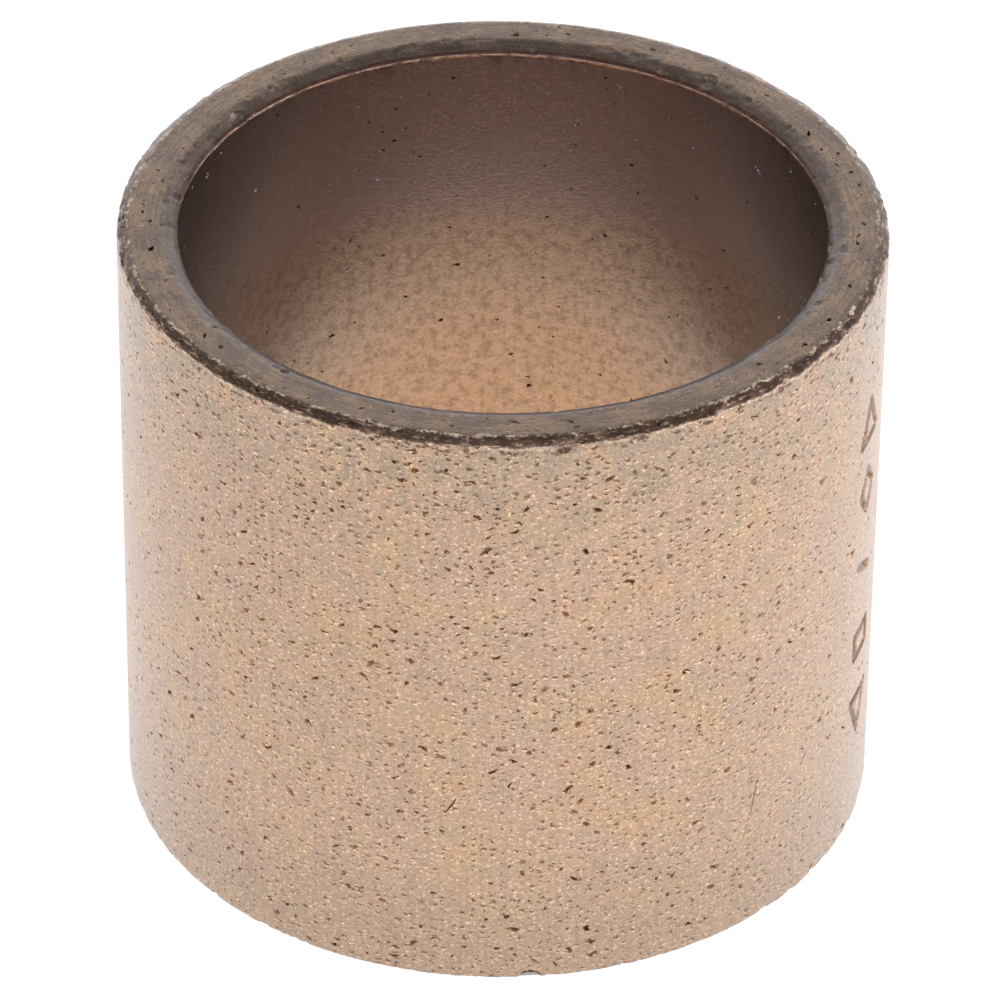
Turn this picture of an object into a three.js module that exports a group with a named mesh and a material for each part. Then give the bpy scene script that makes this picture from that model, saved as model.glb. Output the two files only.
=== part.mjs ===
// Plain sleeve bush, pressed from bronze powder, sintered, sized and soaked in oil.
//
// It is one ring of porous metal from skin to skin: no backing shell, no liner, no split,
// no grease hole and no graphite plugs, so it is one solid and one node.
//
// Frame: millimetres, +Z up along the bore axis, origin at the centre of the lower end face.

import * as THREE from 'three';

// Driving dimensions
const OUTER_DIAMETER = 19.0;
const BORE_DIAMETER = 16.0;
const LENGTH = 16.4;

// Both end faces are flat annuli between two shallow punch-formed chamfers.
const OUTER_CHAMFER_WIDTH = 0.27;   // measured along the radius
const INNER_CHAMFER_WIDTH = 0.38;   // measured along the radius
const CHAMFER_ANGLE_DEG = 30;       // measured from the end face

// Facets round the circumference. At 192 the flats lie within 0.002 mm of the true circle.
const FACETS_AROUND = 192;

const OILED_BRONZE = new THREE.MeshStandardMaterial({
  name: 'sintered_bronze',
  color: '#b08a68',
  roughness: 0.5,
  metalness: 1.0,
});

// Half section of the ring, as [radius, height] corners. It runs round the section from the
// lower outer corner, up the outside wall, across the top face, down the bore and back along
// the lower face, and closes on its first corner.
function ringSection() {
  const outerRadius = OUTER_DIAMETER / 2;
  const boreRadius = BORE_DIAMETER / 2;
  const slope = Math.tan(THREE.MathUtils.degToRad(CHAMFER_ANGLE_DEG));
  const outerDrop = OUTER_CHAMFER_WIDTH * slope;
  const innerDrop = INNER_CHAMFER_WIDTH * slope;
  const faceOuterRadius = outerRadius - OUTER_CHAMFER_WIDTH;
  const faceInnerRadius = boreRadius + INNER_CHAMFER_WIDTH;

  const corners = [
    [faceOuterRadius, 0],
    [outerRadius, outerDrop],
    [outerRadius, LENGTH - outerDrop],
    [faceOuterRadius, LENGTH],
    [faceInnerRadius, LENGTH],
    [boreRadius, LENGTH - innerDrop],
    [boreRadius, innerDrop],
    [faceInnerRadius, 0],
    [faceOuterRadius, 0],
  ];
  return corners.map(([radius, height]) => new THREE.Vector2(radius, height));
}

// LatheGeometry turns about +Y, so the ring is tipped up to stand along +Z.
function makeSleeve() {
  const geometry = new THREE.LatheGeometry(ringSection(), FACETS_AROUND);
  geometry.rotateX(Math.PI / 2);
  const sleeve = new THREE.Mesh(geometry, OILED_BRONZE);
  sleeve.name = 'sleeve';
  return sleeve;
}

const bush = new THREE.Group();
bush.name = 'sintered_bronze_bush';
bush.add(makeSleeve());

export default bush;
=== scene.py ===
import math

import bpy
import numpy as np
from mathutils import Matrix, Vector, noise
from mathutils.geometry import delaunay_2d_cdt


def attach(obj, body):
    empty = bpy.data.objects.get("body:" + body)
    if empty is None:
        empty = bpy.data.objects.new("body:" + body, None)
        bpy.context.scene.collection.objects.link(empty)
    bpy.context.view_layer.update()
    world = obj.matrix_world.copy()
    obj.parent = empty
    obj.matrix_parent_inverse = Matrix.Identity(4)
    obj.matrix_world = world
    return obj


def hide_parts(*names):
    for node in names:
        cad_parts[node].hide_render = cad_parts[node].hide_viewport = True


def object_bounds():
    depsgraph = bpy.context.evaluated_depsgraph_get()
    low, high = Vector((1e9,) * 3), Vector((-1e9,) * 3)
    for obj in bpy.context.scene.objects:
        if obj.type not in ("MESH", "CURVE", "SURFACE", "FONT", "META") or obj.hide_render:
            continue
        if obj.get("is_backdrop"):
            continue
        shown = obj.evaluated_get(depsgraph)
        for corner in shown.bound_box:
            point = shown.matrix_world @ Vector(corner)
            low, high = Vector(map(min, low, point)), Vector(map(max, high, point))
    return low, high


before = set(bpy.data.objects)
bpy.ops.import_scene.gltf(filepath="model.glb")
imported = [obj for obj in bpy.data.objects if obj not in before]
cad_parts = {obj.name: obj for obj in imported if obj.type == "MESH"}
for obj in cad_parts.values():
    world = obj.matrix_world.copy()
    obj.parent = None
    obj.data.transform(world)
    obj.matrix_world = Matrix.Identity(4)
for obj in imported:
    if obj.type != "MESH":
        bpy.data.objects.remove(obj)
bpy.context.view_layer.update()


# ---------------------------------------------------------------------------------------------
# Camera. A long lens, close to a catalogue shot, looks down into the bore and leans by half a
# degree, so that the bush seems to stand slightly off upright.
# ---------------------------------------------------------------------------------------------
MM = 0.001
CAMERA_PLACE_MM = (0.0, -147.93, 113.85)
CAMERA_TILT_DOWN_DEG = 35.605
CAMERA_ROLL_DEG = 0.682
CAMERA_LENS_MM = 259.4

camera_data = bpy.data.cameras.new("catalogue_camera")
camera_data.lens = CAMERA_LENS_MM
camera_data.sensor_width = 36.0
camera_data.clip_start = 10 * MM
camera_data.clip_end = 5000 * MM
camera = bpy.data.objects.new("catalogue_camera", camera_data)
bpy.context.scene.collection.objects.link(camera)
camera.matrix_world = (
    Matrix.Translation(Vector(CAMERA_PLACE_MM) * MM)
    @ Matrix.Rotation(math.radians(90 - CAMERA_TILT_DOWN_DEG), 4, "X")
    @ Matrix.Rotation(math.radians(CAMERA_ROLL_DEG), 4, "Z")
)
bpy.context.scene.camera = camera


# ---------------------------------------------------------------------------------------------
# Sleeve. One ring of tin bronze powder, pressed, sintered, then forced through a sizing die
# and soaked in oil. Pores stay open on every face, the punches leave ragged chamfers at both
# ends, and a column of plain inspection marks is punched down the outside.
# ---------------------------------------------------------------------------------------------
DICE_SEED = 1619
rng = np.random.default_rng(DICE_SEED)

# Ring section from the frame: radii and heights of its eight corners, in millimetres.
CORNER_FIT = 0.001
cad_points = np.array([v.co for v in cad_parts["sleeve"].data.vertices]) / MM
cad_radius = np.hypot(cad_points[:, 0], cad_points[:, 1])
cad_height = cad_points[:, 2]
LENGTH = float(cad_height.max())
OUTER_RADIUS = float(cad_radius.max())
BORE_RADIUS = float(cad_radius.min())
on_top = cad_height > LENGTH - CORNER_FIT
FACE_OUTER_RADIUS = float(cad_radius[on_top].max())
FACE_INNER_RADIUS = float(cad_radius[on_top].min())
OUTER_DROP = LENGTH - float(cad_height[cad_radius > OUTER_RADIUS - CORNER_FIT].max())
INNER_DROP = LENGTH - float(cad_height[cad_radius < BORE_RADIUS + CORNER_FIT].max())

# The skin of the ring is laid out flat as one sheet: "around" runs round the circumference,
# "along" runs out over the lower face, up the outside, in over the top and down the bore.
FACE_MIDDLE_RADIUS = (FACE_OUTER_RADIUS + FACE_INNER_RADIUS) / 2
corners = np.array([
    (FACE_MIDDLE_RADIUS, 0),
    (FACE_OUTER_RADIUS, 0),
    (OUTER_RADIUS, OUTER_DROP),
    (OUTER_RADIUS, LENGTH - OUTER_DROP),
    (FACE_OUTER_RADIUS, LENGTH),
    (FACE_INNER_RADIUS, LENGTH),
    (BORE_RADIUS, LENGTH - INNER_DROP),
    (BORE_RADIUS, INNER_DROP),
    (FACE_INNER_RADIUS, 0),
    (FACE_MIDDLE_RADIUS, 0),
])
stops = np.concatenate([[0], np.cumsum(np.hypot(*np.diff(corners, axis=0).T))])
SHEET_AROUND = math.tau * (OUTER_RADIUS + BORE_RADIUS) / 2
SHEET_ALONG = float(stops[-1])
(LOW_FACE_OUT, LOW_WALL_EDGE, TOP_WALL_EDGE, TOP_FACE_OUT,
 TOP_FACE_IN, TOP_BORE_EDGE, LOW_BORE_EDGE, LOW_FACE_IN) = stops[1:-1]

# The sheet's seam runs up the ring just behind its right-hand side, and every corner of the
# section is eased over a short length.
SEAM_DEG = 4.0
EDGE_ROUNDING = 0.03


def section(along):
    """Radius, height and outward normal (radial, up) of the ring section."""
    before = np.mod(along - EDGE_ROUNDING, SHEET_ALONG)
    after = np.mod(along + EDGE_ROUNDING, SHEET_ALONG)
    radius_before = np.interp(before, stops, corners[:, 0])
    radius_after = np.interp(after, stops, corners[:, 0])
    height_before = np.interp(before, stops, corners[:, 1])
    height_after = np.interp(after, stops, corners[:, 1])
    run = np.stack([radius_after - radius_before, height_after - height_before])
    run /= np.linalg.norm(run, axis=0)
    radius = (radius_before + radius_after) / 2
    height = (height_before + height_after) / 2
    return radius, height, run[1], -run[0]


def around_at(degrees):
    """Place on the sheet of a direction in plan, counted from +X towards +Y."""
    return (degrees - SEAM_DEG) % 360 / 360 * SHEET_AROUND


# A raster of small cells remembers which parts of the sheet are already cut into.
CELL = 0.02
taken = np.zeros((int(SHEET_AROUND / CELL) + 2, int(SHEET_ALONG / CELL) + 2), bool)


def claim(around, along, half_around, half_along):
    """Takes a box of the sheet for one feature, if all of it is still free."""
    box = np.s_[int((around - half_around) / CELL):int((around + half_around) / CELL) + 1,
                int((along - half_along) / CELL):int((along + half_along) / CELL) + 1]
    if taken[box].any():
        return False
    taken[box] = True
    return True


sheet_points = []      # (around, along)
sheet_cuts = []        # millimetres cut below the skin
sheet_edges = []


def add_points(around, along, cut=0.0):
    """Adds loose points to the sheet, all cut to one depth."""
    first = len(sheet_points)
    sheet_points.extend(zip(around, along))
    sheet_cuts.extend([cut] * len(around))
    return first


def add_loop(around, along, cut):
    """Adds a closed ring of points whose sides stay edges of the mesh."""
    first = add_points(around, along, cut)
    count = len(around)
    sheet_edges.extend((first + i, first + (i + 1) % count) for i in range(count))


# Inspection marks: five plain figures of round-nosed chisel strokes, one under another. Each has
# its height on the ring, then the points that its strokes join, round the ring and up it in
# millimetres from the figure's centre.
MARK_DEG = -17.0
MARK_HALF_SIZE = 0.80
MARK_NET = 0.055
STROKE_HALF_WIDTH = 0.125
STROKE_DEPTH = 0.10
STROKE_FULLNESS = 1.25      # above 1, the bottom of a stroke is flat
MARKS = [
    (12.50, [(-0.62, -0.50), (0.00, 0.58), (0.62, -0.50), (-0.62, -0.50)]),
    (10.40, [(0.00, -0.60), (0.50, 0.00), (0.00, 0.60), (-0.50, 0.00), (0.00, -0.60)]),
    (8.05, [(-0.46, 0.22), (0.46, -0.22)]),
    (5.80, [(-0.50, -0.34), (0.50, -0.34), (0.50, 0.34), (-0.50, 0.34), (-0.50, -0.34)]),
    (3.55, [(-0.60, 0.52), (0.60, 0.52), (0.00, -0.56), (-0.60, 0.52)]),
]
mark_around = around_at(MARK_DEG)
mark_scale = SHEET_AROUND / (math.tau * OUTER_RADIUS)
mark_strokes = []
for height, corner_list in MARKS:
    mark_along = LOW_WALL_EDGE + height - OUTER_DROP
    claim(mark_around, mark_along, MARK_HALF_SIZE, MARK_HALF_SIZE)
    ticks = np.arange(-MARK_HALF_SIZE + MARK_NET, MARK_HALF_SIZE - MARK_NET / 2, MARK_NET)
    net_around, net_along = np.meshgrid(ticks, ticks)
    add_points(mark_around + net_around.ravel(), mark_along + net_along.ravel())
    places = np.array(corner_list) * (mark_scale, 1) + (mark_around, mark_along)
    mark_strokes.extend(zip(places[:-1], places[1:]))


def stroke_depth(around, along):
    """How deep the chisel strokes reach at each place of the sheet."""
    spots = np.stack([around, along], 1)
    nearest = np.full(len(spots), SHEET_ALONG)
    for start, end in mark_strokes:
        run = end - start
        share = np.clip((spots - start) @ run / (run @ run), 0, 1)
        gap = np.linalg.norm(spots - start - share[:, None] * run, axis=1)
        nearest = np.minimum(nearest, gap)
    return STROKE_DEPTH * np.clip(STROKE_FULLNESS * (1 - (nearest / STROKE_HALF_WIDTH) ** 2), 0, 1)


# One thin handling scratch low on the front right: a slender V cut, wider in its middle.
SCRATCH_FROM = (around_at(-50.2), LOW_WALL_EDGE + 2.6)
SCRATCH_TO = (around_at(-46.6), LOW_WALL_EDGE + 4.5)
SCRATCH_HALF_WIDTH = 0.024
SCRATCH_DEPTH = 0.035
SCRATCH_WAVER = 0.05
share = np.linspace(0, 1, 12)
scratch_around = np.interp(share, (0, 1), (SCRATCH_FROM[0], SCRATCH_TO[0]))
scratch_around += SCRATCH_WAVER * np.sin(share * 5)
scratch_along = np.interp(share, (0, 1), (SCRATCH_FROM[1], SCRATCH_TO[1]))
swell = SCRATCH_HALF_WIDTH * (0.35 + np.sin(share * math.pi))
add_loop(np.concatenate([scratch_around - swell, (scratch_around + swell)[::-1]]),
         np.concatenate([scratch_along, scratch_along[::-1]]), 0.0)
add_points(scratch_around[1:-1], scratch_along[1:-1], SCRATCH_DEPTH)
for around, along in zip(scratch_around, scratch_along):
    column = int(around / CELL)
    row = int(along / CELL)
    taken[column - 4:column + 5, row - 5:row + 6] = True

# Open pores large enough to be hollows in the metal: gaps between powder grains, smeared out
# round the ring by the sizing die. Sizes fall off steeply and the pores gather in clusters. The
# mouth of a pore is a bent, leaning ring of corners and its floor a triangle inside the mouth.
SMALLEST_PORE = 0.028
LARGEST_PORE = 0.118
SIZE_FALL = 1.9
FEW_CORNERS_BELOW = 0.045
PORE_TRIES = 14
FLOOR_SHARES = (0.6, 0.4, 0.2)
PORE_GAP = 0.02
EDGE_GAP = 0.07
SEAM_GAP = 0.3
WHOLE_SHEET = (SHEET_AROUND / 2, SHEET_AROUND / 2 - SEAM_GAP)
BORE_PORE_SHARE = 0.75

# Pores to try for, the zone's middle and half span round the ring, and its two ends along the
# sheet. The first five are tight clusters under the upper rim.
pore_zones = [
    (26, around_at(-89.0), 0.45, TOP_WALL_EDGE - 2.9, TOP_WALL_EDGE - 1.5),
    (14, around_at(-104.0), 0.35, TOP_WALL_EDGE - 1.5, TOP_WALL_EDGE - 0.5),
    (16, around_at(-76.0), 0.50, TOP_WALL_EDGE - 2.0, TOP_WALL_EDGE - 0.6),
    (14, around_at(-118.0), 0.50, TOP_WALL_EDGE - 3.4, TOP_WALL_EDGE - 2.2),
    (14, around_at(-71.0), 0.40, TOP_WALL_EDGE - 4.6, TOP_WALL_EDGE - 3.6),
    (4050, *WHOLE_SHEET, LOW_WALL_EDGE, TOP_WALL_EDGE),
    (1150, *WHOLE_SHEET, TOP_BORE_EDGE, LOW_BORE_EDGE),
    (90, *WHOLE_SHEET, TOP_FACE_OUT, TOP_FACE_IN),
    (60, *WHOLE_SHEET, TOP_WALL_EDGE, TOP_FACE_OUT),
    (70, *WHOLE_SHEET, LOW_FACE_IN, SHEET_ALONG),
]


def inside(x, y, ring_x, ring_y):
    """Whether every place lies inside a closed ring of corners."""
    next_x = np.roll(ring_x, -1)
    next_y = np.roll(ring_y, -1)
    spans = (ring_y > y[:, None]) != (next_y > y[:, None])
    crossing = ring_x + (y[:, None] - ring_y) / (next_y - ring_y) * (next_x - ring_x)
    return bool(((spans & (x[:, None] < crossing)).sum(axis=1) % 2 == 1).all())


for count, middle, half_span, low, high in pore_zones:
    sizes = SMALLEST_PORE * (LARGEST_PORE / SMALLEST_PORE) ** (rng.random(count) ** SIZE_FALL)
    if low == TOP_BORE_EDGE:
        sizes = sizes * BORE_PORE_SHARE
    for size in np.sort(sizes)[::-1]:
        corner_count = 6 if size < FEW_CORNERS_BELOW else 9
        turn = np.arange(corner_count) + rng.uniform(-0.3, 0.3, corner_count)
        turn *= math.tau / corner_count
        reach = size * rng.uniform(0.35, 1.35, corner_count)
        stretch = rng.uniform(1.1, 2.6)
        lean = rng.normal(0, 0.3)
        across = reach * np.cos(turn) * stretch ** 0.5
        straight_up = reach * np.sin(turn) / stretch ** 0.5 + across * math.tan(lean)
        bend = rng.normal(0, 0.25) * across ** 2 / size
        up = straight_up + bend
        half_across = float(np.abs(across).max()) + PORE_GAP
        half_up = float(np.abs(up).max()) + PORE_GAP
        room = min(high, SHEET_ALONG - SEAM_GAP) - low - 2 * (EDGE_GAP + half_up)
        for attempt in range(PORE_TRIES if room > 0 else 0):
            around = middle + rng.uniform(-half_span, half_span)
            along = low + EDGE_GAP + half_up + room * rng.random()
            to_end = min(along - low, high - along)
            crowd = noise.noise(Vector((around / 0.9, along / 0.6, 1.7)))
            crowd += 0.7 * noise.noise(Vector((around / 3.5, along / 2.5, 8.1)))
            crowd += 0.25 * math.exp(-to_end / 1.8)
            if rng.random() > 0.4 + 1.1 * crowd and half_span > 1:
                continue
            if claim(around, along, half_across, half_up):
                add_loop(around + across, along + up, 0.0)
                floor_part = slice(rng.integers(2), None, 2 if corner_count == 6 else 3)
                depth = size * rng.uniform(0.55, 0.95)
                for floor_share in FLOOR_SHARES:
                    floor_across = floor_share * across[floor_part]
                    floor_up = (floor_share * straight_up + floor_share ** 2 * bend)[floor_part]
                    if inside(floor_across, floor_up, across, up):
                        add_loop(around + floor_across, along + floor_up, depth)
                        break
                break

# Between the pores the sheet is a plain net: fine over the upper rim, coarser over the lower
# rim and wide over the walls. Both sides of the sheet carry the same points, to be welded.
TOP_RIM_STEP = 0.082
LOW_RIM_STEP = 0.16
WALL_STEP = 0.65
EDGE_ROWS = (-0.055, -0.03, 0.0, 0.03, 0.055)
EDGE_ROW_GAP = 0.085
SEAM_POINT_GAP = 0.02

# Each band's two ends, its step and the corners of the section inside it.
bands = [
    (0.0, LOW_WALL_EDGE + 0.3, LOW_RIM_STEP, (LOW_FACE_OUT, LOW_WALL_EDGE)),
    (LOW_WALL_EDGE + 0.3, TOP_WALL_EDGE - 0.25, WALL_STEP, ()),
    (TOP_WALL_EDGE - 0.25, TOP_BORE_EDGE + 0.2, TOP_RIM_STEP,
     (TOP_WALL_EDGE, TOP_FACE_OUT, TOP_FACE_IN, TOP_BORE_EDGE)),
    (TOP_BORE_EDGE + 0.2, LOW_BORE_EDGE - 0.3, WALL_STEP, ()),
    (LOW_BORE_EDGE - 0.3, SHEET_ALONG, LOW_RIM_STEP, (LOW_BORE_EDGE, LOW_FACE_IN)),
]
for low, high, step, edges in bands:
    rows = np.linspace(low, high, round((high - low) / step) + 1)
    rows = [row for row in rows[:-1] if all(abs(row - edge) > EDGE_ROW_GAP for edge in edges)]
    rows += [edge + offset for edge in edges for offset in EDGE_ROWS]
    columns = round(SHEET_AROUND / step)
    for number, row in enumerate(sorted(rows)):
        around = (np.arange(columns) + 0.5 * (number % 2)) / columns * SHEET_AROUND
        around = np.concatenate([[0], around[around > SEAM_POINT_GAP], [SHEET_AROUND]])
        free = ~taken[(around / CELL).astype(int), int(row / CELL)]
        add_points(around[free], np.full(free.sum(), row))
top_row = [point[0] for point in sheet_points if point[1] == 0.0]
add_points(np.array(top_row), np.full(len(top_row), SHEET_ALONG))

flat, _, triangles, origin, _, _ = delaunay_2d_cdt(
    [Vector(point) for point in sheet_points], sheet_edges, [], 0, 1e-6)
flat = np.array([tuple(point) for point in flat])
around, along = flat.T
cut = np.array([sheet_cuts[source[0]] if source else 0.0 for source in origin])
pore_cut = cut
cut = np.maximum(pore_cut, stroke_depth(around, along))

# Punch and die wear: the corners of both rims crumble, and the upper bore edge keeps a thin
# raised burr.
plan_angle = around / SHEET_AROUND * math.tau + math.radians(SEAM_DEG)
radius, height, out_radial, out_up = section(along)
skin = np.stack([radius * np.cos(plan_angle), radius * np.sin(plan_angle), height], 1)


def wander(size, seed):
    """Smooth noise over the skin, -1 to 1, its lumps of the given size in millimetres."""
    shift = Vector((seed * 7.3, seed * 3.1, seed * 5.7))
    return np.array([noise.noise(Vector(place) / size + shift) for place in skin])


LUMP_SIZE = 0.55
CRUMB_SIZE = 0.16
CRUMB_ROUGHNESS = 0.006
BURR_HALF_WIDTH = 0.05
BURR_HEIGHT = 0.018
BURR_RUN = 1.3
lumps = wander(LUMP_SIZE, 1)
crumbs = wander(CRUMB_SIZE, 2)
lift = np.zeros(len(flat))
for edge, depth, reach in ((TOP_WALL_EDGE, 0.040, 0.11), (LOW_WALL_EDGE, 0.02, 0.12),
                           (TOP_FACE_OUT, 0.020, 0.07), (TOP_FACE_IN, 0.030, 0.08),
                           (TOP_BORE_EDGE, 0.022, 0.07), (LOW_BORE_EDGE, 0.03, 0.10)):
    near = np.exp(-((along - edge) / reach) ** 2)
    lift -= near * depth * np.clip(0.25 + 0.9 * lumps + 0.8 * crumbs, 0, 1.2)
burr = np.exp(-((along - TOP_BORE_EDGE) / BURR_HALF_WIDTH) ** 2)
lift += burr * BURR_HEIGHT * np.clip(0.55 + 0.7 * wander(BURR_RUN, 3), 0, 1)
on_end = (along > TOP_WALL_EDGE) & (along < TOP_BORE_EDGE)
lift += np.where(on_end, CRUMB_ROUGHNESS * crumbs, 0.0)

# Nicks: the larger ones listed one by one, the rest scattered. Each has a direction, a place along
# the sheet, two half lengths and a depth.
nicks = [
    (-80.8, TOP_WALL_EDGE - 0.02, 0.34, 0.20, 0.13),
    (-78.5, TOP_WALL_EDGE + 0.10, 0.14, 0.12, 0.08),
    (-55.0, TOP_WALL_EDGE - 0.05, 0.40, 0.14, 0.08),
    (-108.0, TOP_WALL_EDGE, 0.45, 0.10, 0.05),
    (145.4, TOP_BORE_EDGE - 0.15, 0.30, 0.20, 0.11),
    (51.8, TOP_FACE_IN + 0.05, 0.26, 0.22, 0.12),
    (60.5, TOP_BORE_EDGE - 0.10, 0.18, 0.12, 0.08),
    (-84.6, LOW_WALL_EDGE + 0.05, 0.30, 0.22, 0.10),
]
for edge, count in ((TOP_WALL_EDGE, 150), (LOW_WALL_EDGE, 90),
                    (TOP_FACE_IN, 60), (TOP_BORE_EDGE - 0.10, 50)):
    for _ in range(count):
        nicks.append((rng.uniform(6, 362), edge + rng.normal(0, 0.04), rng.uniform(0.06, 0.28),
                      rng.uniform(0.05, 0.13), 0.012 + 0.04 * rng.random() ** 2))
for degrees, edge, half_around, half_along, depth in nicks:
    far = ((around - around_at(degrees)) / half_around) ** 2 + ((along - edge) / half_along) ** 2
    lift -= depth * np.clip(1.4 * (1 - far), 0, 1)

# The ring keeps its length and its outside diameter: nothing is raised past them.
lift = np.where(on_end | (burr > 0.02), lift, np.minimum(lift, 0)) - cut
height = np.clip(height + lift * out_up, 0, LENGTH)
radius = np.minimum(radius + lift * out_radial, OUTER_RADIUS)
solid = np.stack([radius * np.cos(plan_angle), radius * np.sin(plan_angle), height], 1) * MM

# The sheet's opposite sides are the same line on the ring, so they are welded into one.
WELD_GAP = 1e-4
folded = np.stack([np.where(around > SHEET_AROUND - WELD_GAP, 0, around),
                   np.where(along > SHEET_ALONG - WELD_GAP, 0, along)], 1)
_, keep, weld = np.unique(np.round(folded, 6), axis=0, return_index=True, return_inverse=True)
weld = weld.reshape(-1)
faces = np.array(triangles)
mesh = bpy.data.meshes.new("sintered_sleeve")
mesh.from_pydata(solid[keep].tolist(), [], weld[faces].tolist())
bake = mesh.uv_layers.new(name="OFBake")
sheet_uv = flat[faces.reshape(-1)] / (SHEET_AROUND, SHEET_ALONG)
bake.data.foreach_set("uv", sheet_uv.astype(np.float32).reshape(-1))

# Each face says how much of it is down in a hollow, where dirt gathers, and whether it is the
# upward-facing lower lip of a pore in a wall, which carries a painted highlight.
HOLLOW_DEPTH = 0.012
FACING_UP = 0.2
on_wall = (np.abs(out_up[faces]) < 0.1).all(axis=1)
hollow_share = (cut[faces] > HOLLOW_DEPTH).mean(axis=1)
pore_share = (pore_cut[faces] > HOLLOW_DEPTH).mean(axis=1)
first_side = solid[faces[:, 1]] - solid[faces[:, 0]]
second_side = solid[faces[:, 2]] - solid[faces[:, 0]]
face_normal = np.cross(first_side, second_side)
face_normal /= np.linalg.norm(face_normal, axis=1, keepdims=True) + 1e-20
lip_highlight = on_wall & (pore_share > 0) & (pore_share < 1) & (face_normal[:, 2] > FACING_UP)
dirt = mesh.attributes.new("pore_dirt", "FLOAT", "FACE")
dirt.data.foreach_set("value", np.where(lip_highlight, 0, hollow_share).astype(np.float32))
lip_highlight_layer = mesh.attributes.new("pore_lip_highlight", "FLOAT", "FACE")
lip_highlight_layer.data.foreach_set("value", lip_highlight.astype(np.float32))
mesh.shade_smooth()
SHARP_CORNER_DEG = 38
mesh.set_sharp_from_angle(angle=math.radians(SHARP_CORNER_DEG))

# Between the pores both walls are shaded as true cylinders, so their long thin triangles don't
# show. A corner left at zero keeps the normal that Blender works out.
UNTOUCHED = 0.0005
skin_normal = np.stack([out_radial * np.cos(plan_angle), out_radial * np.sin(plan_angle), out_up], 1)
plain = on_wall & (np.abs(lift[faces]) < UNTOUCHED).all(axis=1)
corner_normals = np.zeros((len(faces), 3, 3))
corner_normals[plain] = skin_normal[faces[plain]]
mesh.normals_split_custom_set(corner_normals.reshape(-1, 3).tolist())

sleeve = bpy.data.objects.new("sintered_sleeve", mesh)
bpy.context.scene.collection.objects.link(sleeve)


def linear(colour):
    """Linear RGBA of an sRGB hex colour."""
    channels = [int(colour[i:i + 2], 16) / 255 for i in (1, 3, 5)]
    return (*[c / 12.92 if c <= 0.04045 else ((c + 0.055) / 1.055) ** 2.4 for c in channels], 1.0)


def add_node(tree, kind, settings, inputs):
    """Adds a node, sets its properties, and links or fills its inputs."""
    node = tree.nodes.new(kind)
    for name, value in settings.items():
        setattr(node, name, value)
    for name, value in inputs.items():
        if isinstance(value, bpy.types.NodeSocket):
            tree.links.new(value, node.inputs[name])
        else:
            node.inputs[name].default_value = value
    return node


# Oiled sintered bronze: dull tan metal of pressed grains, each grain a little lighter or darker
# than the next, brown oil in the gaps, drawn smooth up and down by the sizing die.
bronze = bpy.data.materials.new("oiled_sintered_bronze")
bronze.use_nodes = True
tree = bronze.node_tree
tree.nodes.clear()
coordinates = add_node(tree, "ShaderNodeTexCoord", {}, {})
solid_mm = add_node(tree, "ShaderNodeVectorMath", {"operation": "SCALE"}, {
    0: coordinates.outputs["Object"], "Scale": 1 / MM})
sheet_place = add_node(tree, "ShaderNodeUVMap", {"uv_map": "OFBake"}, {})
sheet_mm = add_node(tree, "ShaderNodeVectorMath", {"operation": "MULTIPLY"}, {
    0: sheet_place.outputs["UV"], 1: (SHEET_AROUND, SHEET_ALONG, 0)})
sheet_axes = add_node(tree, "ShaderNodeSeparateXYZ", {}, {0: sheet_mm.outputs[0]})

# The rim's colours end in ragged lines, where its corners have crumbled: places along the sheet
# wander by up to 0.2 mm before they are compared with a corner of the section.
WANDER_MM = 0.40
crumble = add_node(tree, "ShaderNodeTexNoise", {"noise_dimensions": "2D"}, {
    "Vector": sheet_mm.outputs[0], "Scale": 2.6, "Detail": 5.0, "Roughness": 0.75})
off_middle = add_node(tree, "ShaderNodeMath", {"operation": "SUBTRACT"}, {
    0: crumble.outputs["Fac"], 1: 0.5})
along_ragged = add_node(tree, "ShaderNodeMath", {"operation": "MULTIPLY_ADD"}, {
    0: off_middle.outputs[0], 1: WANDER_MM, 2: sheet_axes.outputs["Y"]})
straight = sheet_axes.outputs["Y"]
ragged = along_ragged.outputs[0]

# Noises that break up the tones: clouds and patches of one to two millimetres over the whole
# skin, freckles of oil in the bore, and grains of copper dragged round the chamfer.
clouds = add_node(tree, "ShaderNodeTexNoise", {}, {
    "Vector": solid_mm.outputs[0], "Scale": 0.55, "Detail": 3.0, "Roughness": 0.6})
patches = add_node(tree, "ShaderNodeTexNoise", {}, {
    "Vector": solid_mm.outputs[0], "Scale": 1.3, "Detail": 4.0, "Roughness": 0.65})
freckles = add_node(tree, "ShaderNodeTexNoise", {"noise_dimensions": "2D"}, {
    "Vector": sheet_mm.outputs[0], "Scale": 3.2, "Detail": 5.0, "Roughness": 0.72})
copper_place = add_node(tree, "ShaderNodeVectorMath", {"operation": "MULTIPLY"}, {
    0: sheet_mm.outputs[0], 1: (3.5, 11.0, 0)})
copper_noise = add_node(tree, "ShaderNodeTexNoise", {"noise_dimensions": "2D"}, {
    "Vector": copper_place.outputs[0], "Scale": 1.0, "Detail": 3.0, "Roughness": 0.75})
edge_line_runs = add_node(tree, "ShaderNodeTexNoise", {"noise_dimensions": "2D"}, {
    "Vector": sheet_mm.outputs[0], "Scale": 1.8, "Detail": 5.0, "Roughness": 0.75})
solid_axes = add_node(tree, "ShaderNodeSeparateXYZ", {}, {0: solid_mm.outputs[0]})
from_side_to_side = add_node(tree, "ShaderNodeMath", {"operation": "ABSOLUTE"}, {
    0: solid_axes.outputs["X"]})

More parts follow.
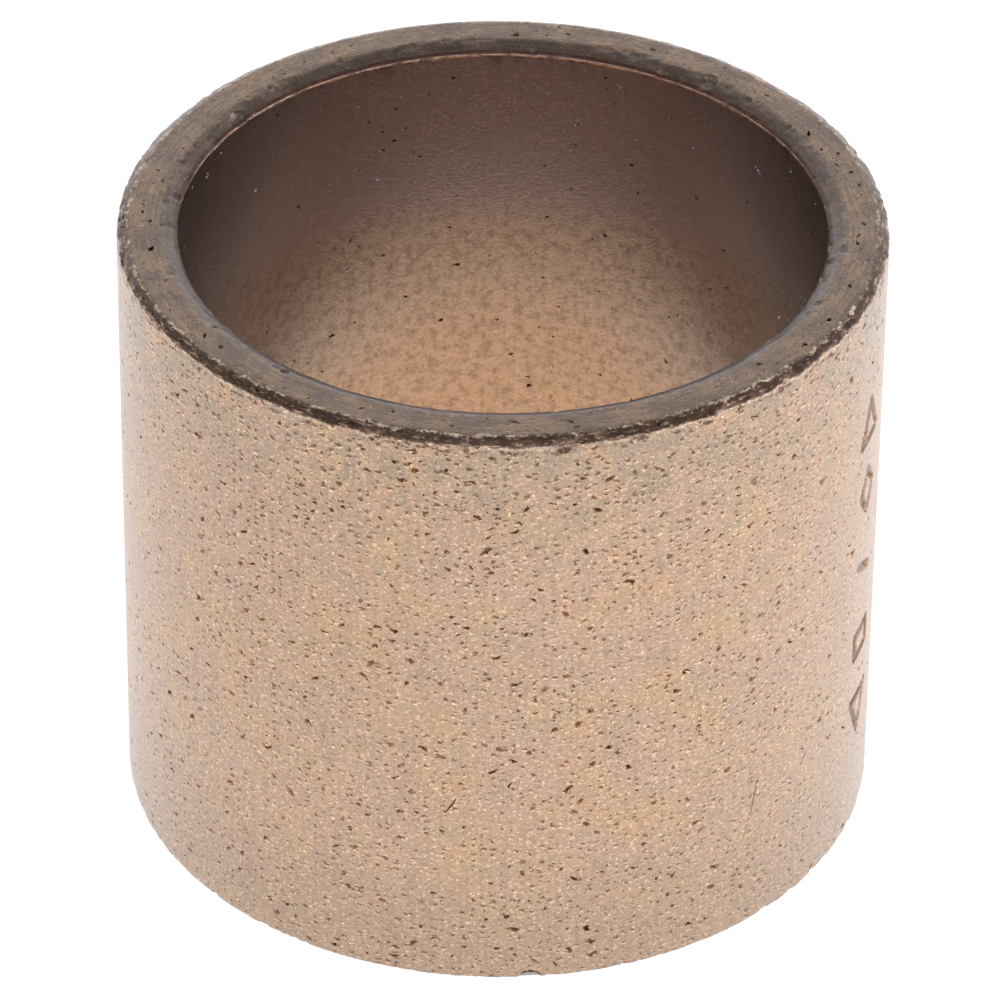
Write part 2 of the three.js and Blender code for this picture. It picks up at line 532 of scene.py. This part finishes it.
# Shares of the skin, each a soft step from 0 at its first number to 1 at its second: first the
# zones of the ring, in millimetres, then how far each noise reaches.
SOFT_STEP = {"interpolation_type": "SMOOTHSTEP"}
SHARES = {
    "rim": (ragged, TOP_WALL_EDGE - 0.05, TOP_WALL_EDGE + 0.02),
    "past_outer_chamfer": (ragged, TOP_FACE_OUT - 0.05, TOP_FACE_OUT + 0.07),
    "past_flat": (ragged, TOP_FACE_IN - 0.15, TOP_FACE_IN + 0.08),
    "bore": (straight, TOP_BORE_EDGE + 0.03, TOP_BORE_EDGE + 0.08),
    "low_end": (straight, LOW_WALL_EDGE + 0.05, LOW_WALL_EDGE - 0.05),
    "under_rim": (straight, TOP_WALL_EDGE - 4.5, TOP_WALL_EDGE),
    "shade_near_foot": (straight, LOW_WALL_EDGE + 5.0, LOW_WALL_EDGE),
    "shaded_upper_bore": (ragged, TOP_BORE_EDGE + 5.6, TOP_BORE_EDGE + 3.4),
    "lit_bore_sides": (from_side_to_side.outputs[0], 4.0, 7.8),
    "pink": (clouds.outputs["Fac"], 0.32, 0.68),
    "dull": (patches.outputs["Fac"], 0.45, 0.85),
    "mottled": (patches.outputs["Fac"], 0.35, 0.65),
    "pale_chamfer": (patches.outputs["Fac"], 0.50, 0.75),
    "pale_inner_chamfer": (patches.outputs["Fac"], 0.40, 0.70),
    "copper": (copper_noise.outputs["Fac"], 0.55, 0.68),
    "freckle": (freckles.outputs["Fac"], 0.40, 0.72),
}
share_of = {}
for name, (value, none_at, all_at) in SHARES.items():
    step = add_node(tree, "ShaderNodeMapRange", SOFT_STEP, {
        "Value": value, "From Min": none_at, "From Max": all_at})
    share_of[name] = step.outputs[0]

# Metal tones. The outside is tan with faint pink and grey clouds, greyer close under the rim, and
# darker towards the foot with painted shade.
wall_tone = add_node(tree, "ShaderNodeMix", {"data_type": "RGBA"}, {
    "Factor": share_of["pink"], 6: linear("#bf9d7d"), 7: linear("#ba9983")})
wall_tone = add_node(tree, "ShaderNodeMix", {"data_type": "RGBA"}, {
    "Factor": share_of["dull"], 6: wall_tone.outputs[2], 7: linear("#ad967f")})
grey_share = add_node(tree, "ShaderNodeMath", {"operation": "MULTIPLY"}, {
    0: share_of["under_rim"], 1: share_of["mottled"]})
wall_tone = add_node(tree, "ShaderNodeMix", {"data_type": "RGBA"}, {
    "Factor": grey_share.outputs[0], 6: wall_tone.outputs[2], 7: linear("#a7917b")})
# Painted shade: the wall darkens over its lowest 5 mm.
foot_shade_share = add_node(tree, "ShaderNodeMath", {"operation": "MULTIPLY"}, {
    0: share_of["shade_near_foot"], 1: 0.75})
wall_tone = add_node(tree, "ShaderNodeMix", {"data_type": "RGBA"}, {
    "Factor": foot_shade_share.outputs[0], 6: wall_tone.outputs[2], 7: linear("#a88e78")})

# The flat of the rim is brown from handling and its chamfers are dark with oil; the outer chamfer's
# dark tone is partly painted shade. Grains of copper shine through on the outer one.
flat_tone = add_node(tree, "ShaderNodeMix", {"data_type": "RGBA"}, {
    "Factor": share_of["mottled"], 6: linear("#9a7a5a"), 7: linear("#79634f")})
oily_shaded_chamfer_tone = add_node(tree, "ShaderNodeMix", {"data_type": "RGBA"}, {
    "Factor": share_of["pale_chamfer"], 6: linear("#5e4433"), 7: linear("#8e6d52")})
oily_shaded_chamfer_tone = add_node(tree, "ShaderNodeMix", {"data_type": "RGBA"}, {
    "Factor": share_of["copper"], 6: oily_shaded_chamfer_tone.outputs[2], 7: linear("#d2ab8b")})
inner_chamfer_tone = add_node(tree, "ShaderNodeMix", {"data_type": "RGBA"}, {
    "Factor": share_of["pale_inner_chamfer"], 6: linear("#6c594b"), 7: linear("#866e5a")})
end_tone = add_node(tree, "ShaderNodeMix", {"data_type": "RGBA"}, {
    "Factor": share_of["past_outer_chamfer"], 6: oily_shaded_chamfer_tone.outputs[2], 7: flat_tone.outputs[2]})
end_tone = add_node(tree, "ShaderNodeMix", {"data_type": "RGBA"}, {
    "Factor": share_of["past_flat"], 6: end_tone.outputs[2], 7: inner_chamfer_tone.outputs[2]})
tone = add_node(tree, "ShaderNodeMix", {"data_type": "RGBA"}, {
    "Factor": share_of["rim"], 6: wall_tone.outputs[2], 7: end_tone.outputs[2]})

# The bore is brown. Its upper part carries a painted purple-brown shade, which turns paler towards
# the ring's left and right sides as painted light.
bore_tone = add_node(tree, "ShaderNodeMix", {"data_type": "RGBA"}, {
    "Factor": share_of["freckle"], 6: linear("#88776b"), 7: linear("#6c5b50")})
# Painted shade in the upper bore, with painted light towards the ring's left and right.
upper_bore_shade_and_light_tone = add_node(tree, "ShaderNodeMix", {"data_type": "RGBA"}, {
    "Factor": share_of["lit_bore_sides"], 6: linear("#786e73"), 7: linear("#958b92")})
bore_tone = add_node(tree, "ShaderNodeMix", {"data_type": "RGBA"}, {
    "Factor": share_of["shaded_upper_bore"], 6: bore_tone.outputs[2], 7: upper_bore_shade_and_light_tone.outputs[2]})
tone = add_node(tree, "ShaderNodeMix", {"data_type": "RGBA"}, {
    "Factor": share_of["bore"], 6: tone.outputs[2], 7: bore_tone.outputs[2]})
tone = add_node(tree, "ShaderNodeMix", {"data_type": "RGBA"}, {
    "Factor": share_of["low_end"], 6: tone.outputs[2], 7: linear("#86766a")})

# Thin lines along the corners of the upper rim. Each has its corner, the four places where it
# starts, is full, begins to fade and is gone, and the two noise levels that break it into runs.
# Levels below every noise value leave a line whole.
EDGE_LINES = {
    "outer_wear_and_highlight": (ragged, TOP_WALL_EDGE, (-0.10, -0.05, -0.05, -0.01), (0.42, 0.58)),
    "flat_edge_wear_and_highlight": (ragged, TOP_FACE_OUT, (-0.07, -0.03, 0.01, 0.05), (0.54, 0.44)),
    "burr_highlight": (straight, TOP_BORE_EDGE, (-0.02, 0.02, 0.06, 0.11), (0.34, 0.52)),
    "dark_line_under_corner": (ragged, TOP_WALL_EDGE, (-0.25, -0.20, -0.16, -0.11), (0.50, 0.44)),
    "oil_at_bore": (straight, TOP_BORE_EDGE, (-0.14, -0.09, -0.02, 0.03), (-1.0, -0.5)),
}
for name, (value, edge, (first, full, fading, last), levels) in EDGE_LINES.items():
    shown = 1.0
    for source, none_at, all_at in ((value, edge + first, edge + full),
                                    (value, edge + last, edge + fading),
                                    (edge_line_runs.outputs["Fac"], *levels)):
        step = add_node(tree, "ShaderNodeMapRange", SOFT_STEP, {
            "Value": source, "From Min": none_at, "From Max": all_at})
        shown = add_node(tree, "ShaderNodeMath", {"operation": "MULTIPLY"}, {
            0: step.outputs[0], 1: shown}).outputs[0]
    share_of[name] = shown

# Worn metal with a painted highlight on the outer corner and on the flat's edge, oil in a dark line
# at the bore, a dark line under the outer corner, and a pale painted highlight along the burr at the
# bore.
wear_and_highlight = add_node(tree, "ShaderNodeMath", {"operation": "MAXIMUM"}, {
    0: share_of["outer_wear_and_highlight"], 1: share_of["flat_edge_wear_and_highlight"]})
# Worn metal and painted highlight along the outer corner and the flat's edge.
tone = add_node(tree, "ShaderNodeMix", {"data_type": "RGBA"}, {
    "Factor": wear_and_highlight.outputs[0], 6: tone.outputs[2], 7: linear("#ecd4ba")})
# Two dark lines: oil at the bore, and a dark line under the outer corner.
dark_lines = add_node(tree, "ShaderNodeMath", {"operation": "MAXIMUM"}, {
    0: share_of["oil_at_bore"], 1: share_of["dark_line_under_corner"]})
tone = add_node(tree, "ShaderNodeMix", {"data_type": "RGBA"}, {
    "Factor": dark_lines.outputs[0], 6: tone.outputs[2], 7: linear("#5e3a2c")})
# Painted highlight along the burr at the bore.
tone = add_node(tree, "ShaderNodeMix", {"data_type": "RGBA"}, {
    "Factor": share_of["burr_highlight"], 6: tone.outputs[2], 7: linear("#c9a48a")})

# Temper colours: faint orange, pink and green tints in patches about 0.7 mm across.
tints = add_node(tree, "ShaderNodeTexNoise", {}, {
    "Vector": solid_mm.outputs[0], "Scale": 1.5, "Detail": 3.0, "Roughness": 0.6})
tint_range = add_node(tree, "ShaderNodeMapRange", {"data_type": "FLOAT_VECTOR"}, {
    "Vector": tints.outputs["Color"], 7: (0.3, 0.3, 0.3), 8: (0.7, 0.7, 0.7),
    9: (0.975, 0.975, 0.95), 10: (1.02, 1.015, 1.03)})
tone = add_node(tree, "ShaderNodeVectorMath", {"operation": "MULTIPLY"}, {
    0: tone.outputs[2], 1: tint_range.outputs[1]})

# Grains about 0.09 mm across, pulled half as long again round the ring by the die.
warp = add_node(tree, "ShaderNodeTexNoise", {"noise_dimensions": "2D"}, {
    "Vector": sheet_mm.outputs[0], "Scale": 11.0, "Detail": 3.0, "Roughness": 0.7})
grain_place = add_node(tree, "ShaderNodeVectorMath", {"operation": "MULTIPLY_ADD"}, {
    0: warp.outputs["Color"], 1: (0.24, 0.20, 0), 2: sheet_mm.outputs[0]})
grain_place = add_node(tree, "ShaderNodeVectorMath", {"operation": "MULTIPLY"}, {
    0: grain_place.outputs[0], 1: (1.0, 1.5, 1.0)})
GRAIN_MM = 0.09
grains = add_node(tree, "ShaderNodeTexVoronoi", {"voronoi_dimensions": "2D"}, {
    "Vector": grain_place.outputs[0], "Scale": 1 / GRAIN_MM})
grain_dice = add_node(tree, "ShaderNodeSeparateColor", {}, {0: grains.outputs["Color"]})
frost = add_node(tree, "ShaderNodeTexNoise", {"noise_dimensions": "2D"}, {
    "Vector": grain_place.outputs[0], "Scale": 14.0, "Detail": 2.0, "Roughness": 0.7})

# Closed-up pores, up to about 0.1 mm, too small and too many to cut: one in each cell of 0.22 mm
# that draws more than 0.4 on the dice.
PIT_SPACING_MM = 0.22
PIT_DICE = 0.4
PIT_EDGE = (0.04, -0.02)
pits = add_node(tree, "ShaderNodeTexVoronoi", {"voronoi_dimensions": "2D"}, {
    "Vector": grain_place.outputs[0], "Scale": 1 / PIT_SPACING_MM})
pit_dice = add_node(tree, "ShaderNodeSeparateColor", {}, {0: pits.outputs["Color"]})
largest_pit = add_node(tree, "ShaderNodeMapRange", {}, {
    "Value": share_of["under_rim"], "To Min": 0.25, "To Max": 0.34})
pit_size = add_node(tree, "ShaderNodeMapRange", {}, {
    "Value": pit_dice.outputs["Red"], "From Min": PIT_DICE, "From Max": 1.0, "To Min": 0.0,
    "To Max": largest_pit.outputs[0]})
pit_gap = add_node(tree, "ShaderNodeMath", {"operation": "SUBTRACT"}, {
    0: pits.outputs["Distance"], 1: pit_size.outputs[0]})
pit = add_node(tree, "ShaderNodeMapRange", SOFT_STEP, {
    "Value": pit_gap.outputs[0], "From Min": PIT_EDGE[0], "From Max": PIT_EDGE[1]})

# A painted highlight on the lower side of most small pores, where an upward-facing lip would catch
# the light.
HIGHLIGHT_SHIFT = 0.085
highlight_place = add_node(tree, "ShaderNodeVectorMath", {"operation": "ADD"}, {
    0: grain_place.outputs[0], 1: (0.0, HIGHLIGHT_SHIFT, 0.0)})
highlight_pits = add_node(tree, "ShaderNodeTexVoronoi", {"voronoi_dimensions": "2D"}, {
    "Vector": highlight_place.outputs[0], "Scale": 1 / PIT_SPACING_MM})
highlight_dice = add_node(tree, "ShaderNodeSeparateColor", {}, {0: highlight_pits.outputs["Color"]})
highlight_size = add_node(tree, "ShaderNodeMapRange", {}, {
    "Value": highlight_dice.outputs["Red"], "From Min": PIT_DICE, "From Max": 1.0, "To Min": 0.0,
    "To Max": largest_pit.outputs[0]})
highlight_gap = add_node(tree, "ShaderNodeMath", {"operation": "SUBTRACT"}, {
    0: highlight_pits.outputs["Distance"], 1: highlight_size.outputs[0]})
shifted_pit = add_node(tree, "ShaderNodeMapRange", SOFT_STEP, {
    "Value": highlight_gap.outputs[0], "From Min": PIT_EDGE[0], "From Max": PIT_EDGE[1]})
lip_highlight = add_node(tree, "ShaderNodeMath", {"operation": "SUBTRACT", "use_clamp": True}, {
    0: shifted_pit.outputs[0], 1: pit.outputs[0]})

# Draw lines left up and down the outside by the die, and round the ends by the punches.
draw_place = add_node(tree, "ShaderNodeVectorMath", {"operation": "MULTIPLY"}, {
    0: sheet_mm.outputs[0], 1: (9.0, 0.35, 0)})
draw_lines = add_node(tree, "ShaderNodeTexNoise", {"noise_dimensions": "2D"}, {
    "Vector": draw_place.outputs[0], "Scale": 1.0, "Detail": 3.0})
turn_place = add_node(tree, "ShaderNodeVectorMath", {"operation": "MULTIPLY"}, {
    0: sheet_mm.outputs[0], 1: (0.8, 15.0, 0)})
turn_lines = add_node(tree, "ShaderNodeTexNoise", {"noise_dimensions": "2D"}, {
    "Vector": turn_place.outputs[0], "Scale": 1.0, "Detail": 3.0})
lines = add_node(tree, "ShaderNodeMix", {}, {
    "Factor": share_of["rim"], 2: draw_lines.outputs["Fac"], 3: turn_lines.outputs["Fac"]})
lines = add_node(tree, "ShaderNodeMix", {}, {"Factor": share_of["bore"], 2: lines.outputs[0], 3: 0.5})

# Brightness of each place: grain by grain, with frost on the grains, the lines, a few painted glints
# and the painted highlights on pore lips. Oil hides most of it in the bore and some of it on the rim.
light_grain = add_node(tree, "ShaderNodeMapRange", {}, {
    "Value": grain_dice.outputs["Red"], "To Min": 0.88, "To Max": 1.10})
light_frost = add_node(tree, "ShaderNodeMapRange", {}, {
    "Value": frost.outputs["Fac"], "From Min": 0.3, "From Max": 0.7, "To Min": 0.76, "To Max": 1.24})
line_low = add_node(tree, "ShaderNodeMix", {}, {"Factor": share_of["rim"], 2: 0.95, 3: 0.70})
line_high = add_node(tree, "ShaderNodeMix", {}, {"Factor": share_of["rim"], 2: 1.05, 3: 1.24})
light_lines = add_node(tree, "ShaderNodeMapRange", {}, {
    "Value": lines.outputs[0], "From Min": 0.3, "From Max": 0.7,
    "To Min": line_low.outputs[0], "To Max": line_high.outputs[0]})
light = add_node(tree, "ShaderNodeMath", {"operation": "MULTIPLY"}, {
    0: light_grain.outputs[0], 1: light_frost.outputs[0]})
light = add_node(tree, "ShaderNodeMath", {"operation": "MULTIPLY"}, {
    0: light.outputs[0], 1: light_lines.outputs[0]})
# Painted glints: scattered bright specks added to the colour.
sparkle = add_node(tree, "ShaderNodeTexNoise", {"noise_dimensions": "2D"}, {
    "Vector": grain_place.outputs[0], "Scale": 12.0, "Detail": 1.0})
glint = add_node(tree, "ShaderNodeMapRange", SOFT_STEP, {
    "Value": sparkle.outputs["Fac"], "From Min": 0.64, "From Max": 0.73})
light = add_node(tree, "ShaderNodeMath", {"operation": "ADD"}, {
    0: glint.outputs[0], 1: light.outputs[0]})
grain_share = add_node(tree, "ShaderNodeMix", {}, {"Factor": share_of["rim"], 2: 1.0, 3: 0.80})
grain_share = add_node(tree, "ShaderNodeMix", {}, {
    "Factor": share_of["bore"], 2: grain_share.outputs[0], 3: 0.26})
light = add_node(tree, "ShaderNodeMix", {}, {
    "Factor": grain_share.outputs[0], 2: 1.0, 3: light.outputs[0]})
# Painted highlights on the lower lips of the cut pores and of the small pits.
pore_lip_highlight = add_node(tree, "ShaderNodeAttribute", {"attribute_name": "pore_lip_highlight"}, {})
lip_highlight_share = add_node(tree, "ShaderNodeMath", {"operation": "MULTIPLY"}, {
    0: lip_highlight.outputs[0], 1: grain_share.outputs[0]})
light = add_node(tree, "ShaderNodeMath", {"operation": "MULTIPLY_ADD"}, {
    0: lip_highlight_share.outputs[0], 1: 0.35, 2: light.outputs[0]})
light = add_node(tree, "ShaderNodeMath", {"operation": "MULTIPLY_ADD"}, {
    0: pore_lip_highlight.outputs["Fac"], 1: 0.6, 2: light.outputs[0]})
shaded = add_node(tree, "ShaderNodeVectorMath", {"operation": "SCALE"}, {
    0: tone.outputs[0], "Scale": light.outputs[0]})

# Brown oil and dirt fill the open pores, the marks and the small pits.
hollow = add_node(tree, "ShaderNodeAttribute", {"attribute_name": "pore_dirt"}, {})
dirt_share = add_node(tree, "ShaderNodeMath", {"operation": "MULTIPLY"}, {
    0: pit.outputs[0], 1: grain_share.outputs[0]})
dirt_share = add_node(tree, "ShaderNodeMath", {"operation": "MULTIPLY"}, {
    0: dirt_share.outputs[0], 1: 0.95})
dirt_share = add_node(tree, "ShaderNodeMath", {"operation": "MULTIPLY_ADD", "use_clamp": True}, {
    0: hollow.outputs["Fac"], 1: 0.85, 2: dirt_share.outputs[0]})
colour = add_node(tree, "ShaderNodeMix", {"data_type": "RGBA"}, {
    "Factor": dirt_share.outputs[0], 6: shaded.outputs[0], 7: linear("#73512f")})

# Finest relief, 0.012 mm high: grains stand proud and pits sink.
relief = add_node(tree, "ShaderNodeMath", {"operation": "MULTIPLY_ADD"}, {
    0: frost.outputs["Fac"], 1: 0.9, 2: grains.outputs["Distance"]})
relief = add_node(tree, "ShaderNodeMath", {"operation": "MULTIPLY_ADD"}, {
    0: pit.outputs[0], 1: -1.2, 2: relief.outputs[0]})
relief = add_node(tree, "ShaderNodeMath", {"operation": "MULTIPLY_ADD"}, {
    0: lines.outputs[0], 1: 0.5, 2: relief.outputs[0]})
relief = add_node(tree, "ShaderNodeMath", {"operation": "MULTIPLY"}, {
    0: relief.outputs[0], 1: grain_share.outputs[0]})
RELIEF_MM = 0.012
bump = add_node(tree, "ShaderNodeBump", {}, {
    "Height": relief.outputs[0], "Strength": 0.5, "Distance": RELIEF_MM * MM})

# A satin outside, a bore polished by the sizing pin, and matt worn corners that scatter light.
# The coat is the film of oil over everything.
WALL_ROUGHNESS = 0.40
BORE_ROUGHNESS = 0.19
roughness = add_node(tree, "ShaderNodeMix", {}, {
    "Factor": share_of["bore"], 2: WALL_ROUGHNESS, 3: BORE_ROUGHNESS})
roughness = add_node(tree, "ShaderNodeMath", {"operation": "MULTIPLY_ADD", "use_clamp": True}, {
    0: frost.outputs["Fac"], 1: 0.12, 2: roughness.outputs[0]})
roughness = add_node(tree, "ShaderNodeMath", {"operation": "SUBTRACT"}, {
    0: roughness.outputs[0], 1: 0.06})
roughness = add_node(tree, "ShaderNodeMath", {"operation": "MULTIPLY_ADD", "use_clamp": True}, {
    0: wear_and_highlight.outputs[0], 1: 0.45, 2: roughness.outputs[0]})
surface = add_node(tree, "ShaderNodeBsdfPrincipled", {}, {
    "Base Color": colour.outputs[2], "Metallic": 1.0, "Roughness": roughness.outputs[0],
    "Normal": bump.outputs[0], "Coat Weight": 0.85, "Coat Roughness": 0.35})
add_node(tree, "ShaderNodeOutputMaterial", {}, {"Surface": surface.outputs[0]})
mesh.materials.append(bronze)

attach(sleeve, "root")
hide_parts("sleeve")


# ---------------------------------------------------------------------------------------------
# Studio. A lit table of white acrylic, brighter under the bore, and a soft cloth tent round it:
# dim overhead, with a large soft box in front, another behind, and one low down on either side.
# ---------------------------------------------------------------------------------------------
TABLE_RADIUS_MM = 900.0
TABLE_DROP_MM = 0.02
TABLE_LIGHT = 1.08
BORE_LIGHT = 2.15
BORE_GLOW_MM = 4.0          # the extra light is full out to here
TABLE_GLOW_MM = 8.8         # and gone from here on
table_mesh = bpy.data.meshes.new("lit_table")
table_ring = [(TABLE_RADIUS_MM * MM * math.cos(turn), TABLE_RADIUS_MM * MM * math.sin(turn),
               -TABLE_DROP_MM * MM)
              for turn in np.linspace(0, math.tau, 96, endpoint=False)]
table_mesh.from_pydata(table_ring, [], [list(range(len(table_ring)))])
table = bpy.data.objects.new("lit_table", table_mesh)
bpy.context.scene.collection.objects.link(table)

# Opal acrylic: matt and lit from below, a little dimmer to the left and warm under the bore.
opal = bpy.data.materials.new("opal_acrylic")
opal.use_nodes = True
opal_tree = opal.node_tree
table_place = add_node(opal_tree, "ShaderNodeTexCoord", {}, {})
from_middle = add_node(opal_tree, "ShaderNodeVectorMath", {"operation": "LENGTH"}, {
    0: table_place.outputs["Object"]})
table_glow = add_node(opal_tree, "ShaderNodeMapRange", {}, {
    "Value": from_middle.outputs["Value"], "From Min": BORE_GLOW_MM * MM,
    "From Max": TABLE_GLOW_MM * MM, "To Min": BORE_LIGHT, "To Max": TABLE_LIGHT})
table_axes = add_node(opal_tree, "ShaderNodeSeparateXYZ", {}, {0: table_place.outputs["Object"]})
to_right = add_node(opal_tree, "ShaderNodeMapRange", {}, {
    "Value": table_axes.outputs["X"], "From Min": -25 * MM, "From Max": 10 * MM,
    "To Min": 0.88, "To Max": 1.0})
table_glow = add_node(opal_tree, "ShaderNodeMath", {"operation": "MULTIPLY"}, {
    0: table_glow.outputs[0], 1: to_right.outputs[0]})
opal_surface = opal_tree.nodes["Principled BSDF"]
opal_surface.inputs["Base Color"].default_value = linear("#7c7c7c")
opal_surface.inputs["Roughness"].default_value = 0.7
glow_tint = add_node(opal_tree, "ShaderNodeMapRange", {"data_type": "FLOAT_VECTOR"}, {
    "Vector": from_middle.outputs["Value"], 7: (BORE_GLOW_MM * MM,) * 3, 8: (TABLE_GLOW_MM * MM,) * 3,
    9: linear("#ffe0c0")[:3], 10: (1.0, 1.0, 1.0)})
opal_tree.links.new(glow_tint.outputs[1], opal_surface.inputs["Emission Color"])
opal_tree.links.new(table_glow.outputs[0], opal_surface.inputs["Emission Strength"])
table_mesh.materials.append(opal)
table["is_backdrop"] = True

# Soft boxes on the tent: degrees round from the camera's side, degrees above the horizon, half
# width in degrees, and brightness.
SOFT_BOXES = [
    (0, 42, 38, 0.9),
    (180, 42, 45, 0.66),
    (88, 4, 30, 3.0),
    (-88, 4, 30, 0.7),
]
OVERHEAD = 0.24
HORIZON = 1.0
world = bpy.data.worlds.new("soft_tent")
bpy.context.scene.world = world
world.use_nodes = True
sky = world.node_tree
heading = add_node(sky, "ShaderNodeTexCoord", {}, {})
sky_axes = add_node(sky, "ShaderNodeSeparateXYZ", {}, {0: heading.outputs["Generated"]})
glow = add_node(sky, "ShaderNodeMapRange", {"interpolation_type": "SMOOTHSTEP"}, {
    "Value": sky_axes.outputs["Z"], "From Min": 0.10, "From Max": 0.45,
    "To Min": OVERHEAD + HORIZON, "To Max": OVERHEAD})
for azimuth, elevation, half_width, brightness in SOFT_BOXES:
    flat_run = math.cos(math.radians(elevation))
    box_heading = (math.sin(math.radians(azimuth)) * flat_run,
                   -math.cos(math.radians(azimuth)) * flat_run,
                   math.sin(math.radians(elevation)))
    facing = add_node(sky, "ShaderNodeVectorMath", {"operation": "DOT_PRODUCT"}, {
        0: heading.outputs["Generated"], 1: box_heading})
    box = add_node(sky, "ShaderNodeMapRange", {"interpolation_type": "SMOOTHSTEP"}, {
        "Value": facing.outputs["Value"], "From Min": math.cos(math.radians(half_width)),
        "From Max": math.cos(math.radians(half_width * 0.4)), "To Max": brightness})
    glow = add_node(sky, "ShaderNodeMath", {"operation": "ADD"}, {
        0: glow.outputs[0], 1: box.outputs[0]})
sky.links.new(glow.outputs[0], sky.nodes["Background"].inputs["Strength"])
sky.nodes["Background"].inputs["Color"].default_value = linear("#edf2fc")

bpy.context.scene.view_settings.view_transform = "Standard"

low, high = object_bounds()
